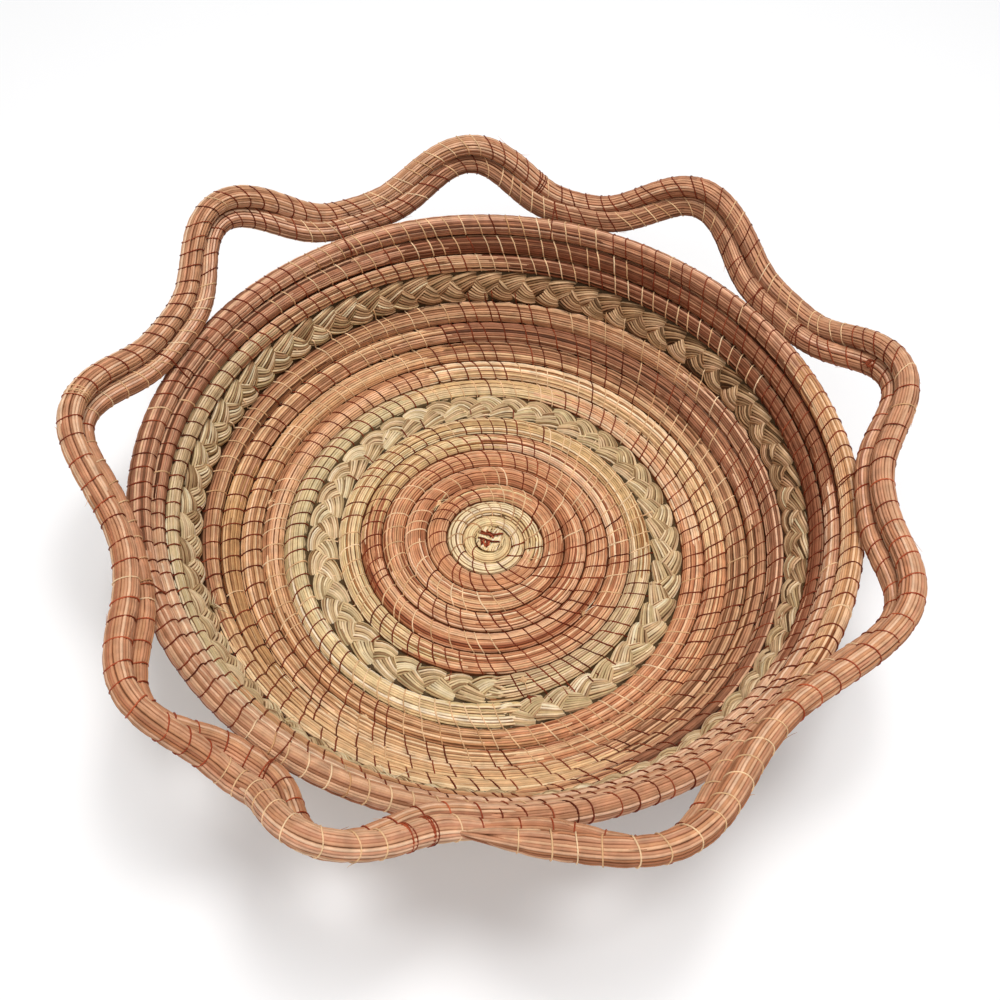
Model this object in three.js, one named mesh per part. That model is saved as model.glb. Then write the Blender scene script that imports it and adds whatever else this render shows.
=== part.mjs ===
// Pine needle basket: needle coils sewn round in one spiral, with two braided rounds and a scalloped border.
// Millimetres, +Z up. The origin is on the bowl's axis, on the surface that the basket stands on.
import * as THREE from 'three';

// The knot at the middle of the base.
const knotRadius = 4.2;
const knotHeight = 8.4;
const knotFootRadius = 3.4;
const knotCrownRadius = 2.6;
const knotSideFrom = 2.1; // heights between which the knot is at its widest
const knotSideTo = 5.5;
const knotCrownHeight = 7.8;

// Rows of the spiral. The first rows are finer, and their spacing grows to the full one.
const startPitch = 5.0;
const basePitch = 8.5;
const wallPitch = 8.9;
const rimPitch = 7.8;
const fineTurns = 2.2;
const rowGap = 0.5;
const coilThickness = 8.0;
const footCut = 0.5;

// Braided rounds, flatter and wider than a coil.
const innerBraidWidth = 11.6;
const outerBraidWidth = 12.5;
const braidThickness = 6.6;
const braidSpread = 0.12; // share of a turn, either way, in which a coil fans out into a braid

// Turns that each batch of needles makes, from the knot out. Each braid makes one turn.
const startTurns = 2;
const baseTurns = 4.6;
const strawTurns = 0.4;
const paleShoulderTurns = 0.5;
const shoulderTurns = 0.5;
const pinkTurns = 1;
const tanTurns = 1;
const strawWallTurns = 1;
const russetTurns = 1;
const paleLipTurns = 1;
const russetLipTurns = 1;

// The bowl's profile along the middle of its wall: flat, then an arc, then a straight flare.
const baseFlatRadius = 73.3;
const shoulderRadius = 40;
const wallAngle = THREE.MathUtils.degToRad(64);

// The scalloped border: two strands side by side, round nine loops.
const strandDiameter = 7.8;
const loopFlare = THREE.MathUtils.degToRad(38);
const stackTilt = THREE.MathUtils.degToRad(42); // how far the outer strand rides up on the inner at a crown
const crownDegrees = [254.5, 228.5, 182.5, 141, 99, 60, 16.5, -22, -67.5];
const crownReach = [29, 25, 23.5, 30, 25.5, 26.5, 26, 19.5, 25];
const valleyFlareDegrees = [52, 20, 78, 66, 16, 10, 15, 72, 76]; // in the valley before each crown
const strandEndScale = 0.55;
const straightShare = 0.25; // of the first flank, before the strand leaves the wall's direction

// Where the spiral starts and its rounds join, and the gap that two ends keep.
const seamDegrees = 280;
const endGap = 0.3;

// Facets.
const stepsPerTurn = 28;
const leastStepShare = 0.2;
const cornerShare = 0.6; // of half the width, where a section's flat ends
const flatShare = 0.92; // of half the thickness, where that flat lies
const stepsPerFlank = 7;
const crownCrowding = 1.5;
const tailRings = 3; // rings over which the outer strand thins at its end
const knotSides = 16;
const minimumGap = 0.4;

const wallTurns = paleShoulderTurns + shoulderTurns + pinkTurns + tanTurns + strawWallTurns + russetTurns;
const innerBraidStart = startTurns + baseTurns + strawTurns;
const innerBraidEnd = innerBraidStart + 1;
const outerBraidStart = innerBraidEnd + wallTurns;
const outerBraidEnd = outerBraidStart + 1;
const rimStart = outerBraidEnd + paleLipTurns + russetLipTurns;
const strandPitch = strandDiameter + rowGap;
const rimStandoff = (Math.max(rimPitch - rowGap, coilThickness) + strandDiameter) / 2 + rowGap;

const firstValley = (crownDegrees[0] + crownDegrees[crownDegrees.length - 1] + 360) / 2;
const rimEnd = rimStart + 1 + (seamDegrees - firstValley) / 360;

const lerp = THREE.MathUtils.lerp;
const smooth = (x) => THREE.MathUtils.smoothstep(x, 0, 1);

// The spiral runs clockwise, seen from above, as the turn number grows.
const angleAtTurn = (turn) => THREE.MathUtils.degToRad(seamDegrees - 360 * turn);
const outward = (angle) => new THREE.Vector3(Math.cos(angle), Math.sin(angle), 0);
const up = new THREE.Vector3(0, 0, 1);

// Rows meet on one spiral line: the row at a turn lies between the line one turn back and the line there.
// The line's spacing grows from the knot outwards, and each braid pushes it out where that braid starts.
function spiralLine(turn) {
  const fine = THREE.MathUtils.clamp(turn, 0, fineTurns);
  const grown = fineTurns * smoothArea(fine / fineTurns) + Math.max(turn - fineTurns, 0);
  const wall = THREE.MathUtils.clamp(turn - innerBraidEnd, 0, wallTurns);
  const rim = Math.max(turn - outerBraidStart, 0);
  const rows = startPitch * (turn + 1) + (basePitch - startPitch) * grown;
  const wider = (wallPitch - basePitch) * wall + (rimPitch - basePitch) * rim;
  const braids = braidPush(turn, innerBraidStart, innerBraidWidth - basePitch)
    + braidPush(turn, outerBraidStart, outerBraidWidth - rimPitch);
  return knotRadius + rowGap / 2 + rows + wider + braids;
}

// Integral of smoothstep from 0 to x, for x from 0 to 1.
function smoothArea(x) {
  return x ** 3 - x ** 4 / 2;
}

function braidPush(turn, start, extraWidth) {
  return (extraWidth + rowGap) * smooth((turn - start + braidSpread) / (2 * braidSpread));
}

// Middle of the row at a turn, and its width between its neighbours.
function rowMiddle(turn) {
  return (spiralLine(turn - 1) + spiralLine(turn)) / 2;
}

function rowWidth(turn) {
  return spiralLine(turn) - spiralLine(turn - 1) - rowGap;
}

// Radius, height and slope of the wall's middle at a distance along the profile from the axis.
function wallAt(distance) {
  const arcEnd = baseFlatRadius + shoulderRadius * wallAngle;
  const floor = coilThickness / 2 - footCut;
  const slope = THREE.MathUtils.clamp((distance - baseFlatRadius) / shoulderRadius, 0, wallAngle);
  const straight = Math.max(distance - arcEnd, 0);
  const flat = Math.min(distance, baseFlatRadius);
  return {
    radius: flat + shoulderRadius * Math.sin(slope) + straight * Math.cos(wallAngle),
    height: floor + shoulderRadius * (1 - Math.cos(slope)) + straight * Math.sin(wallAngle),
    slope,
  };
}

// A closed tube through rings of equal counts of points, all wound the same way round the tube.
function tubeGeometry(rings) {
  const sides = rings[0].length;
  const positions = rings.flat().flatMap((point) => point.toArray());
  const index = [];
  for (let ring = 0; ring + 1 < rings.length; ring += 1) {
    for (let side = 0; side < sides; side += 1) {
      const a = ring * sides + side;
      const b = ring * sides + ((side + 1) % sides);
      index.push(a, b, b + sides, a, b + sides, a + sides);
    }
  }
  const last = (rings.length - 1) * sides;
  for (let side = 1; side + 1 < sides; side += 1) {
    index.push(0, side + 1, side, last, last + side, last + side + 1);
  }
  const geometry = new THREE.BufferGeometry();
  geometry.setAttribute('position', new THREE.Float32BufferAttribute(positions, 3));
  geometry.setIndex(index);
  geometry.computeVertexNormals();
  return geometry;
}

// Six-sided section: corners to its two neighbours in the wall, flats on the inside and the outside.
function sectionRing(middle, across, over, halfWidth, halfThickness) {
  const outline = [
    [1, 0],
    [cornerShare, flatShare],
    [-cornerShare, flatShare],
    [-1, 0],
    [-cornerShare, -flatShare],
    [cornerShare, -flatShare],
  ];
  return outline.map(([x, y]) =>
    middle.clone().addScaledVector(across, x * halfWidth).addScaledVector(over, y * halfThickness));
}

// Rows that lie on the ground are cut flat there.
function cutAtGround(ring) {
  ring.forEach((point) => point.setZ(Math.max(point.z, 0)));
  return ring;
}

function rowRing(turn, fullThickness) {
  const angle = angleAtTurn(turn);
  const wall = wallAt(rowMiddle(turn));
  const out = outward(angle);
  const across = out.clone().multiplyScalar(Math.cos(wall.slope)).addScaledVector(up, Math.sin(wall.slope));
  const over = out.clone().multiplyScalar(-Math.sin(wall.slope)).addScaledVector(up, Math.cos(wall.slope));
  const middle = out.clone().multiplyScalar(wall.radius).addScaledVector(up, wall.height);
  const width = rowWidth(turn);
  const roundThickness = (width * coilThickness) / (basePitch - rowGap);
  const thickness = Math.min(fullThickness, roundThickness);
  return cutAtGround(sectionRing(middle, across, over, width / 2, thickness / 2));
}

// Share of a turn that a given length takes on the row at a turn.
function turnShare(length, turn) {
  return length / (2 * Math.PI * wallAt(rowMiddle(turn)).radius);
}

// Turn numbers of a stretch's rings: its two ends, set back by half a gap, and the shared stations between.
function stationsBetween(from, to) {
  const first = from + turnShare(endGap / 2, from);
  const last = to - turnShare(endGap / 2, to);
  const leastStep = leastStepShare / stepsPerTurn;
  const turns = [first];
  for (let step = Math.ceil(from * stepsPerTurn); step <= to * stepsPerTurn; step += 1) {
    const turn = step / stepsPerTurn;
    if (turn > first + leastStep && turn < last - leastStep) {
      turns.push(turn);
    }
  }
  turns.push(last);
  return turns;
}

function rowStretch(from, to, thickness) {
  return stationsBetween(from, to).map((turn) => rowRing(turn, thickness));
}

// Each loop of the border runs from the valley before its crown to the valley after it, clockwise.
const loops = crownDegrees.map((crown, place) => {
  const last = crownDegrees.length - 1;
  return {
    crown,
    reach: crownReach[place],
    flareBefore: THREE.MathUtils.degToRad(valleyFlareDegrees[place]),
    flareAfter: THREE.MathUtils.degToRad(valleyFlareDegrees[(place + 1) % valleyFlareDegrees.length]),
    before: place === 0 ? firstValley : (crownDegrees[place - 1] + crown) / 2,
    after: place === last ? firstValley - 360 : (crown + crownDegrees[place + 1]) / 2,
  };
});

// Angles of the border's rings, closer together near the crowns.
function scallopDegrees() {
  const degrees = [firstValley];
  for (const { crown, before, after } of loops) {
    for (let step = 1 - stepsPerFlank; step <= stepsPerFlank; step += 1) {
      const nearness = 1 - (Math.abs(step) / stepsPerFlank) ** crownCrowding;
      degrees.push(lerp(step < 0 ? before : after, crown, nearness));
    }
  }
  return degrees;
}

// The inner strand leaves the end of the rim straight and then takes up the loops' own flare.
function innerStrandAt(degrees) {
  const loop = loops.find(({ after }) => degrees >= after) ?? loops[loops.length - 1];
  const rising = degrees > loop.crown;
  const valley = rising ? loop.before : loop.after;
  const nearness = (degrees - valley) / (loop.crown - valley);
  const leaving = rising && loop === loops[0];
  const blend = leaving ? smooth((nearness - straightShare) / (1 - 2 * straightShare)) : 1;
  const rise = Math.sin((nearness * Math.PI) / 2) ** 4;
  const turn = rimEnd + (firstValley - degrees) / 360;
  const rim = wallAt(rowMiddle(turn - 1));
  const sheetFlare = lerp(rising ? loop.flareBefore : loop.flareAfter, loopFlare, smooth(nearness));
  const flare = lerp(wallAngle, sheetFlare, blend);
  const reach = lerp(rimPitch, rimStandoff, blend) + (loop.reach - rimStandoff) * rise;
  const out = outward(angleAtTurn(turn));
  const point = out.clone().multiplyScalar(rim.radius + reach * Math.cos(flare));
  point.setZ(rim.height + reach * Math.sin(flare));
  return { point, out, flare, sheetFlare, rise };
}

// Direction of travel at an angle, and the directions across the sheet of the loops and over it.
function strandFrame(degrees, flare) {
  const nearby = 0.5; // degrees
  const here = innerStrandAt(degrees);
  const back = innerStrandAt(Math.min(degrees + nearby, firstValley)).point;
  const ahead = innerStrandAt(Math.max(degrees - nearby, firstValley - 360)).point;
  const along = ahead.sub(back).normalize();
  const sheetUp = here.out.clone().multiplyScalar(-Math.sin(flare)).addScaledVector(up, Math.cos(flare));
  const aside = new THREE.Vector3().crossVectors(along, sheetUp).normalize().negate();
  const above = new THREE.Vector3().crossVectors(along, aside);
  const tilt = stackTilt * here.rise;
  const across = aside.clone().multiplyScalar(Math.cos(tilt)).addScaledVector(above, Math.sin(tilt));
  const over = above.clone().multiplyScalar(Math.cos(tilt)).addScaledVector(aside, -Math.sin(tilt));
  return { across, over, along };
}

function strandRings(points, frames, scaleAt) {
  const radius = strandDiameter / 2;
  return points.map((point, place) => {
    const { across, over } = frames[place];
    const size = radius * scaleAt(place);
    return sectionRing(point, across, over, size, size);
  });
}

// Sets a strand's first and last points back by half the gap that ends keep.
function trimEnds(points, frames) {
  const last = points.length - 1;
  points[0] = points[0].clone().addScaledVector(frames[0].along, endGap / 2);
  points[last] = points[last].clone().addScaledVector(frames[last].along, -endGap / 2);
  return points;
}

function scallopStrands() {
  const degrees = scallopDegrees();
  const inner = degrees.map(innerStrandAt);
  const innerFrames = degrees.map((angle, place) => strandFrame(angle, inner[place].flare));
  const outerFrames = degrees.map((angle, place) => strandFrame(angle, inner[place].sheetFlare));
  const innerPoints = inner.map(({ point }) => point);
  const outerPoints = innerPoints.map((point, place) =>
    point.clone().addScaledVector(outerFrames[place].across, strandPitch));
  const tail = degrees.length - 1;
  const tapered = (place) => lerp(strandEndScale, 1, smooth((tail - place) / tailRings));
  return {
    inner: strandRings(trimEnds(innerPoints, innerFrames), innerFrames, () => 1),
    outer: strandRings(trimEnds(outerPoints, outerFrames), outerFrames, tapered),
  };
}

// Least distance between points of a winding that lie more than half a turn apart along it.
function leastGapToItself(rings, ringsPerTurn) {
  let least = Infinity;
  for (let here = 0; here < rings.length; here += 1) {
    for (let there = here + Math.ceil(ringsPerTurn / 2); there < rings.length; there += 1) {
      for (const a of rings[here]) {
        for (const b of rings[there]) {
          least = Math.min(least, a.distanceTo(b));
        }
      }
    }
  }
  return least;
}

// The knot that the first row is wound on: a flat foot, round sides and a low crown.
function knotGeometry() {
  const profile = [
    [0, 0],
    [knotFootRadius, 0],
    [knotRadius, knotSideFrom],
    [knotRadius, knotSideTo],
    [knotCrownRadius, knotCrownHeight],
    [0, knotHeight],
  ].map(([radius, height]) => new THREE.Vector2(radius, height));
  return new THREE.LatheGeometry(profile, knotSides).rotateX(Math.PI / 2);
}

function needles(colour) {
  return new THREE.MeshStandardMaterial({ color: colour, roughness: 0.62, metalness: 0 });
}

const looks = {
  thread: new THREE.MeshStandardMaterial({ color: 0x7a3a22, roughness: 0.7, metalness: 0 }),
  cream: needles(0xe0cc96),
  russet: needles(0xc08258),
  straw: needles(0xd9b277),
  paleGreen: needles(0xc3b78c),
  pink: needles(0xc98d66),
  tan: needles(0xcf9f69),
  brown: needles(0xb5764d),
};

// The batches of the spiral in order, each starting where the one before it ends.
const batches = [
  { name: 'start_coil', turns: startTurns, look: 'cream' },
  { name: 'base_coil', turns: baseTurns, look: 'russet' },
  { name: 'straw_coil', turns: strawTurns, look: 'straw' },
  { name: 'inner_braid', turns: 1, thickness: braidThickness, look: 'paleGreen' },
  { name: 'pale_shoulder_coil', turns: paleShoulderTurns, look: 'paleGreen' },
  { name: 'shoulder_coil', turns: shoulderTurns, look: 'pink' },
  { name: 'pink_wall_coil', turns: pinkTurns, look: 'pink' },
  { name: 'tan_wall_coil', turns: tanTurns, look: 'tan' },
  { name: 'straw_wall_coil', turns: strawWallTurns, look: 'straw' },
  { name: 'russet_wall_coil', turns: russetTurns, look: 'russet' },
  { name: 'outer_braid', turns: 1, thickness: braidThickness, look: 'paleGreen' },
  { name: 'pale_lip_coil', turns: paleLipTurns, look: 'tan' },
  { name: 'russet_lip_coil', turns: russetLipTurns, look: 'russet' },
  { name: 'rim_coil', turns: rimEnd - rimStart, look: 'brown' },
];

const basket = new THREE.Group();

function addPiece(name, geometry, look) {
  const piece = new THREE.Mesh(geometry, looks[look]);
  piece.name = name;
  basket.add(piece);
}

// A winding of a turn or more says how near it comes to itself.
function addWinding(name, rings, ringsPerTurn, look) {
  addPiece(name, tubeGeometry(rings), look);
  if (rings.length > ringsPerTurn) {
    const gap = leastGapToItself(rings, ringsPerTurn);
    console.log(`${name}: least gap to itself ${gap.toFixed(2)} mm, over ${minimumGap} mm wanted`);
  }
}

addPiece('centre_knot', knotGeometry(), 'thread');
let turnsWound = 0;
for (const { name, turns, thickness, look } of batches) {
  const rings = rowStretch(turnsWound, turnsWound + turns, thickness ?? coilThickness);
  addWinding(name, rings, stepsPerTurn, look);
  turnsWound += turns;
}
const strands = scallopStrands();
addWinding('inner_scallop', strands.inner, strands.inner.length - 1, 'brown');
addWinding('outer_scallop', strands.outer, strands.outer.length - 1, 'russet');

export default basket;
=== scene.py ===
import math

import bpy
import numpy as np
from mathutils import Matrix, Vector


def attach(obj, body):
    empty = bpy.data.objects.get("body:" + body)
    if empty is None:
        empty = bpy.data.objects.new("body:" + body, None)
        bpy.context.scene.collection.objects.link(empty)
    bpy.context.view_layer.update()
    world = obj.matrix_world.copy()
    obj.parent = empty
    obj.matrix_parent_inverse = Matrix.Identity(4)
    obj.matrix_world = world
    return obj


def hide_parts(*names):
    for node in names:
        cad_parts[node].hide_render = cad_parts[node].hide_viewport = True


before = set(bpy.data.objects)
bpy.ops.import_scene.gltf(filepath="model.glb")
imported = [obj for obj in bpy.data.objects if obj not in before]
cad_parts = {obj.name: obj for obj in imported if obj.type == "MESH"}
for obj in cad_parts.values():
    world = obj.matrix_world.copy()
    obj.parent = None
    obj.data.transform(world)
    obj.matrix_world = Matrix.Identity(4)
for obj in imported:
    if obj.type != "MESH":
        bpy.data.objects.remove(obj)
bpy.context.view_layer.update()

mm = 0.001  # the basket is laid out in millimetres and scaled when a mesh is made
tau = 2 * math.pi
upward = np.array([0.0, 0.0, 1.0])
print("solids loaded:", len(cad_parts))

# the spiral that the whole basket is wound on, with the same numbers as its solids
coilLay = dict(
    knotRadius=4.2, startPitch=5.0, basePitch=8.5, wallPitch=8.9, rimPitch=7.8, fineTurns=2.2, rowGap=0.5,
    coilThickness=8.0, footCut=0.5, innerBraidWidth=11.6, outerBraidWidth=12.5, braidSpread=0.12,
    innerBraidStart=7.0, innerBraidEnd=8.0, outerBraidStart=13.0, outerBraidEnd=14.0, wallTurns=5.0,
    seamDegrees=280.0, baseFlatRadius=73.3, shoulderRadius=40.0, wallAngle=math.radians(64),
    endScale=0.86, endLength=15.0, press=0.16, densePerTurn=720, fewestSteps=4,
)


def smooth(share):
    share = np.clip(share, 0, 1)
    return share * share * (3 - 2 * share)


def lerp(low, high, share):
    return low + (high - low) * share


def unit(vectors):
    return vectors / np.linalg.norm(vectors, axis=-1, keepdims=True)


def squared(sides, ahead):  # the part of the sides that is square to the run
    return unit(sides - ahead * (sides * ahead).sum(-1, keepdims=True))


def runOf(points):  # which way a line of points runs
    return unit(np.gradient(points, axis=0))


def runLengths(points):  # how far along its line each point lies
    return np.concatenate([[0], np.cumsum(np.linalg.norm(np.diff(points, axis=0), axis=1))])


def lineAt(turn):  # distance from the middle, along the bowl, of the line between two rows
    lay = coilLay
    fine = lay["fineTurns"]
    share = np.clip(turn, 0, fine) / fine
    grown = fine * (share ** 3 - share ** 4 / 2) + np.maximum(turn - fine, 0)
    line = lay["knotRadius"] + lay["rowGap"] / 2 + lay["startPitch"] * (turn + 1)
    line = line + (lay["basePitch"] - lay["startPitch"]) * grown
    line = line + (lay["wallPitch"] - lay["basePitch"]) * np.clip(turn - lay["innerBraidEnd"], 0, lay["wallTurns"])
    line = line + (lay["rimPitch"] - lay["basePitch"]) * np.maximum(turn - lay["outerBraidStart"], 0)
    for start, extra in (
        (lay["innerBraidStart"], lay["innerBraidWidth"] - lay["basePitch"]),
        (lay["outerBraidStart"], lay["outerBraidWidth"] - lay["rimPitch"]),
    ):
        line = line + (extra + lay["rowGap"]) * smooth((turn - start + lay["braidSpread"]) / (2 * lay["braidSpread"]))
    return line


def wallAt(distance):  # the bowl's own section: flat floor, round shoulder, leaning wall
    lay = coilLay
    flat, bend, lean = lay["baseFlatRadius"], lay["shoulderRadius"], lay["wallAngle"]
    slope = np.clip((distance - flat) / bend, 0, lean)
    straight = np.maximum(distance - flat - bend * lean, 0)
    radius = np.minimum(distance, flat) + bend * np.sin(slope) + straight * math.cos(lean)
    height = lay["coilThickness"] / 2 - lay["footCut"] + bend * (1 - np.cos(slope)) + straight * math.sin(lean)
    return radius, height, slope


def outwardAt(degrees):
    bearing = np.radians(degrees)
    return np.stack([np.cos(bearing), np.sin(bearing), np.zeros_like(bearing)], -1)


def rowAt(turn):  # middle of the row, its two directions, half width and half thickness
    lay = coilLay
    radius, height, slope = wallAt((lineAt(turn - 1) + lineAt(turn)) / 2)
    outward = outwardAt(lay["seamDegrees"] - 360 * turn)
    lean, rise = np.cos(slope)[:, None], np.sin(slope)[:, None]
    wide = (lineAt(turn) - lineAt(turn - 1)) / 2 + lay["press"]
    thick = np.minimum(lay["coilThickness"] / 2, wide * lay["coilThickness"] / lay["basePitch"])
    for end in ("innerBraidStart", "innerBraidEnd", "outerBraidStart", "outerBraidEnd"):  # coils thin into the braids
        ease = lerp(lay["endScale"], 1.0, smooth(np.abs(turn - lay[end]) * tau * radius / lay["endLength"]))
        thick = thick * ease
    centre = outward * radius[:, None] + upward * height[:, None]
    return centre, outward * lean + upward * rise, upward * lean - outward * rise, wide, thick


def rowPath(turnFrom, turnTo, step):  # stations at an even step along the row
    dense = np.linspace(turnFrom, turnTo, int((turnTo - turnFrom) * coilLay["densePerTurn"]) + 2)
    along = runLengths(rowAt(dense)[0])
    even = np.linspace(0, along[-1], max(int(along[-1] / step), coilLay["fewestSteps"]) + 1)
    turn = np.interp(even, along, dense)
    centre, across, over, wide, thick = rowAt(turn)
    return dict(turn=turn, along=even, centre=centre, across=across, over=over, wide=wide, thick=thick)


# colours as they look on a screen, dark, middle and light needles of each bunch
needleTones = dict(
    cream=[(184, 142, 94), (240, 213, 161), (255, 237, 206)],
    russet=[(144, 80, 50), (212, 149, 107), (242, 200, 158)],
    straw=[(164, 116, 72), (225, 188, 135), (247, 222, 178)],
    green=[(160, 134, 94), (219, 194, 149), (242, 225, 190)],
    pink=[(156, 94, 62), (226, 172, 127), (249, 214, 176)],
    tan=[(142, 88, 54), (214, 161, 114), (243, 204, 162)],
    honey=[(136, 88, 50), (209, 161, 111), (241, 201, 157)],
    # dusk, umber, walnut, moss and bark are darker tones used as painted shade; peach is a lighter one used as painted
    # light
    shadedDusk=[(96, 56, 32), (192, 138, 100), (240, 198, 156)],
    brown=[(84, 46, 28), (210, 153, 116), (255, 226, 194)],
    umber=[(70, 38, 22), (180, 123, 91), (240, 194, 158)],
    hazel=[(158, 106, 76), (202, 147, 112), (228, 186, 152)],
    fawn=[(174, 124, 92), (215, 169, 133), (238, 204, 172)],
    rust=[(140, 86, 58), (188, 129, 93), (216, 164, 126)],
    olive=[(142, 111, 74), (211, 180, 137), (237, 214, 174)],
    litPeach=[(172, 118, 78), (240, 197, 147), (254, 230, 192)],
    shadedWalnut=[(48, 24, 12), (136, 80, 54), (205, 154, 118)],
    shadedBark=[(70, 48, 28), (156, 116, 80), (212, 178, 138)],
    shadedMoss=[(108, 80, 52), (184, 145, 106), (222, 186, 146)],
)
needleLay = dict(
    sides=6, turned=0.5, oval=1.08, lightLean=0.08, toneSpread=0.52, tint=(0.97, 1.03),
    paintedCrease=(0.33, 0.14, 0.04), softPaintedCrease=(0.7, 0.58, 0.48),  # painted shade: how much darker a needle's colour is made where two of them meet
    softCreaseTones=("hazel", "fawn", "rust"), sectionSteps=720,
    backRun=30.0, endRag=12.0, fewestSteps=5, longSway=0.13, longLength=(14, 28), shortSway=0.06, shortLength=6.5,
    jitter=0.09, sink=(-0.08, 0.2), dip=0.09, dipLength=(9, 16), endSink=0.7, endLength=7.0, tipScale=0.4,
    sidePull=0.55,
)
toneRuns = [  # where a new bunch of needles is fed into the coil, by turns from the middle; the dusk, umber and walnut runs are darker copies laid on the far and right side as painted shade, and the peach runs lighter copies laid mostly on the near side as painted light
    (-1.0, "cream"), (1.84, "russet"), (2.49, "straw"), (2.57, "russet"), (2.88, "pink"), (3.22, "russet"),
    (4.0, "pink"), (4.22, "russet"), (5.3, "straw"), (5.5, "pink"), (5.78, "russet"), (6.08, "straw"),
    (6.78, "olive"), (7.9, "cream"), (8.2, "green"), (8.44, "straw"), (8.58, "pink"), (8.74, "russet"),
    (9.0, "tan"), (9.24, "pink"), (9.48, "litPeach"), (9.76, "russet"), (10.0, "litPeach"), (10.12, "tan"),
    (10.48, "shadedDusk"), (10.96, "litPeach"), (11.14, "honey"), (11.3, "shadedDusk"), (11.48, "umber"), (11.75, "shadedDusk"),
    (11.96, "litPeach"), (12.2, "shadedDusk"), (12.66, "umber"), (12.96, "pink"), (13.0, "olive"), (13.9, "tan"),
    (14.14, "green"), (14.25, "olive"), (14.36, "shadedDusk"), (14.52, "shadedWalnut"), (14.86, "fawn"), (15.24, "umber"),
    (15.47, "shadedWalnut"), (15.78, "brown"), (15.9, "hazel"), (16.2, "umber"), (16.71, "tan"), (16.88, "hazel"),
]


def linear(shade):  # from a screen's scale to the scale that light adds up in
    shade = np.asarray(shade, float) / 255
    return np.where(shade <= 0.04045, shade / 12.92, ((shade + 0.055) / 1.055) ** 2.4)


def toneAt(turn):
    place = int(np.searchsorted([run[0] for run in toneRuns], turn, side="right")) - 1
    return toneRuns[max(place, 0)][1]


def mixTones(tones, lot):  # from the middle one towards the light one, or towards the dark one
    dark, middle, light = (linear(shade) for shade in tones)
    return lerp(middle, light, min(lot, 1)) if lot > 0 else lerp(middle, dark, min(-lot, 1))


def needleColour(tone, chance, spread=needleLay["toneSpread"]):  # one needle's own colour
    shade = mixTones(needleTones[tone], chance.normal(needleLay["lightLean"], spread))
    return shade * chance.uniform(*needleLay["tint"], 3)


def shadedNeedleSides(shade, tone):  # the colour round one needle, with painted shade: its own colour on top, darker at its sides and below where it meets the next needles
    paintedCrease = shade * np.array(needleLay["softPaintedCrease" if tone in needleLay["softCreaseTones"] else "paintedCrease"])
    return np.stack([shade, paintedCrease, paintedCrease, paintedCrease, paintedCrease, shade])


bakeLay = dict(margin=0.06, fill=0.88, cap=[0, 0.3, 0.7, 1])  # each tube has a strip of its own on the bake


def newHeap():
    return dict(points=[], quads=[], colours=[], uvs=[], tubes=0, count=0)


def addTube(heap, path, sideA, sideB, radiusA, radiusB, sides, colour, closed=False, turned=0.0):
    count = len(path)
    spin = (np.arange(sides) + turned) * tau / sides
    ring = path[:, None] + radiusA[:, None, None] * np.cos(spin)[None, :, None] * sideA[:, None]
    ring = ring + radiusB[:, None, None] * np.sin(spin)[None, :, None] * sideB[:, None]
    here = np.arange(count if closed else count - 1)[:, None]
    side = np.arange(sides)[None, :]
    after, beside = (here + 1) % count, (side + 1) % sides
    quads = np.stack([here * sides + side, here * sides + beside, after * sides + beside, after * sides + side], -1)
    quads = quads.reshape(-1, 4)
    grid = (len(here), sides)
    uLow, uHigh = (np.broadcast_to((here + step) / len(here), grid) for step in (0, 1))
    vLow, vHigh = (np.broadcast_to((side + step) / sides, grid) for step in (0, 1))
    uvs = np.stack([uLow, vLow, uLow, vHigh, uHigh, vHigh, uHigh, vLow], -1).reshape(-1, 4, 2)
    if not closed:
        half = np.arange(sides // 2 - 1)
        cap = np.stack([half, half + 1, sides - 2 - half, sides - 1 - half], -1)
        quads = np.concatenate([quads, cap[:, ::-1], cap + (count - 1) * sides])
        ends = np.repeat([0.0, 1.0], len(cap))[:, None]
        capUvs = np.stack([np.repeat(ends, 4, 1), np.tile(bakeLay["cap"], (len(ends), 1))], -1)
        uvs = np.concatenate([uvs, capUvs])
    heap["points"].append(ring.reshape(-1, 3))
    heap["quads"].append(quads + heap["count"])
    heap["colours"].append(np.broadcast_to(colour, (count, sides, 3)).reshape(-1, 3))
    uvs[:, :, 1] = heap["tubes"] + bakeLay["margin"] + bakeLay["fill"] * uvs[:, :, 1]
    heap["uvs"].append(uvs.reshape(-1, 2))
    heap["tubes"] += 1
    heap["count"] += count * sides


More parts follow.
